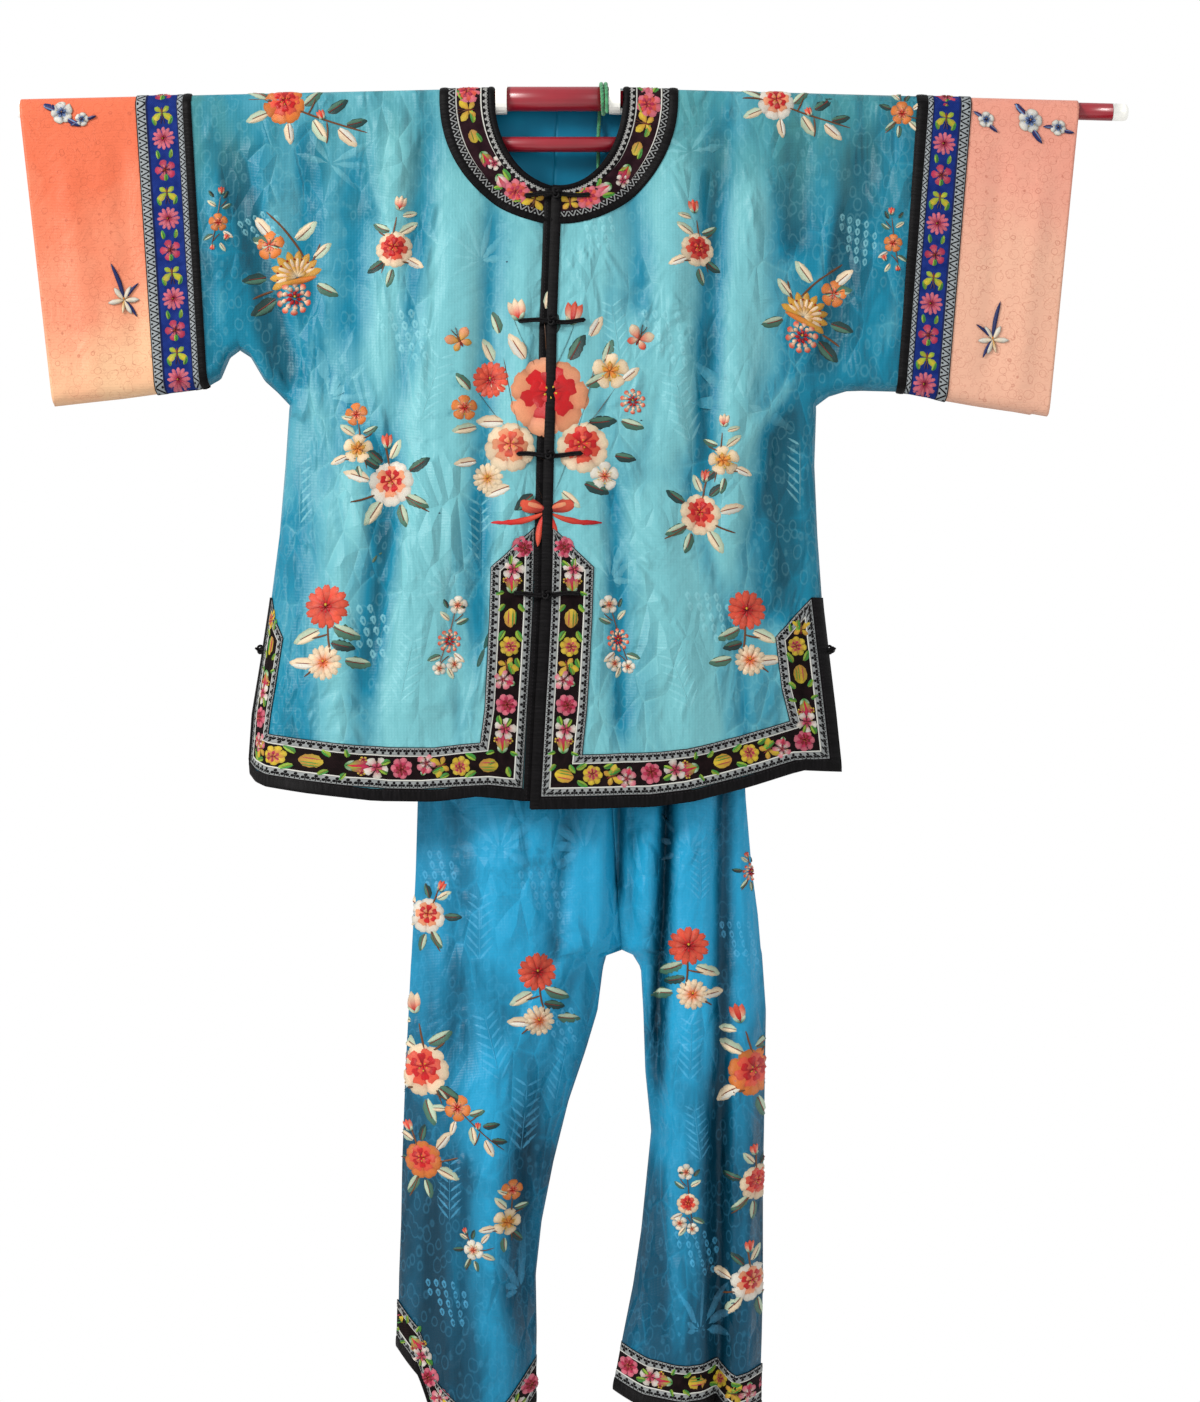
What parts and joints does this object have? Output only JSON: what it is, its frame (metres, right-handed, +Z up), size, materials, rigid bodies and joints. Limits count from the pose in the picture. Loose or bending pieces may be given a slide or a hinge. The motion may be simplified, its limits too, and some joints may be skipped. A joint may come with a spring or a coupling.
{
  "type": "embroidered jacket and trousers set on a telescopic hanger",
  "caption": "Straight-cut silk jacket with wide cuffs and ribbon borders, hung on a straight rod hanger with matching trousers below it.",
  "frame": {"origin": "middle of the hanger's thick tube, on its axis, where it is held", "axes": "+X along the rod towards the wearer's left, +Y from the garment's front to its back, +Z up"},
  "size_m": [1.1114, 0.1255, 1.3746],
  "materials": {
    "silk_jacket": "silk satin damask",
    "silk_trousers": "silk satin damask",
    "silk_cuff": "silk satin damask",
    "ribbon_dark": "woven ribbon",
    "ribbon_blue": "woven ribbon",
    "binding_black": "satin binding and corded knots",
    "waist_cotton": "plain cotton",
    "cord_green": "twisted cord",
    "rod_red": "satin",
    "plastic_white": "gloss"
  },
  "bodies": {
    "root": {"binding_back_left": "binding_black", "binding_back_right": "binding_black", "binding_front_left": "binding_black", "binding_front_right": "binding_black", "body_back_left": "silk_jacket", "body_back_right": "silk_jacket", "body_front_left": "silk_jacket", "body_front_right": "silk_jacket", "collar_binding_back_left": "binding_black", "collar_binding_back_right": "binding_black", "collar_binding_front_left": "binding_black", "collar_binding_front_right": "binding_black", "collar_ribbon_back_left": "ribbon_dark", "collar_ribbon_back_right": "ribbon_dark", "collar_ribbon_front_left": "ribbon_dark", "collar_ribbon_front_right": "ribbon_dark", "cuff_left": "silk_cuff", "cuff_right": "silk_cuff", "drawstring": "cord_green", "frog_chest": "binding_black", "frog_hem": "binding_black", "frog_neck": "binding_black", "frog_slit_left": "binding_black", "frog_slit_right": "binding_black", "frog_waist": "binding_black", "hanger_bar": "rod_red", "hanger_cap_left": "plastic_white", "hanger_cap_right": "plastic_white", "hanger_ferrule_left": "plastic_white", "hanger_ferrule_right": "plastic_white", "hanger_rod_left": "rod_red", "hanger_rod_right": "rod_red", "hanger_tube": "rod_red", "leg_binding_left": "binding_black", "leg_binding_right": "binding_black", "leg_ribbon_left": "ribbon_dark", "leg_ribbon_right": "ribbon_dark", "ribbon_back_left": "ribbon_dark", "ribbon_back_right": "ribbon_dark", "ribbon_front_left": "ribbon_dark", "ribbon_front_right": "ribbon_dark", "sleeve_band_left": "binding_black", "sleeve_band_right": "binding_black", "sleeve_left": "silk_jacket", "sleeve_ribbon_left": "ribbon_blue", "sleeve_ribbon_right": "ribbon_blue", "sleeve_right": "silk_jacket", "trouser_leg_left": "silk_trousers", "trouser_leg_right": "silk_trousers", "waistband": "waist_cotton"}
  },
  "joints": []
}
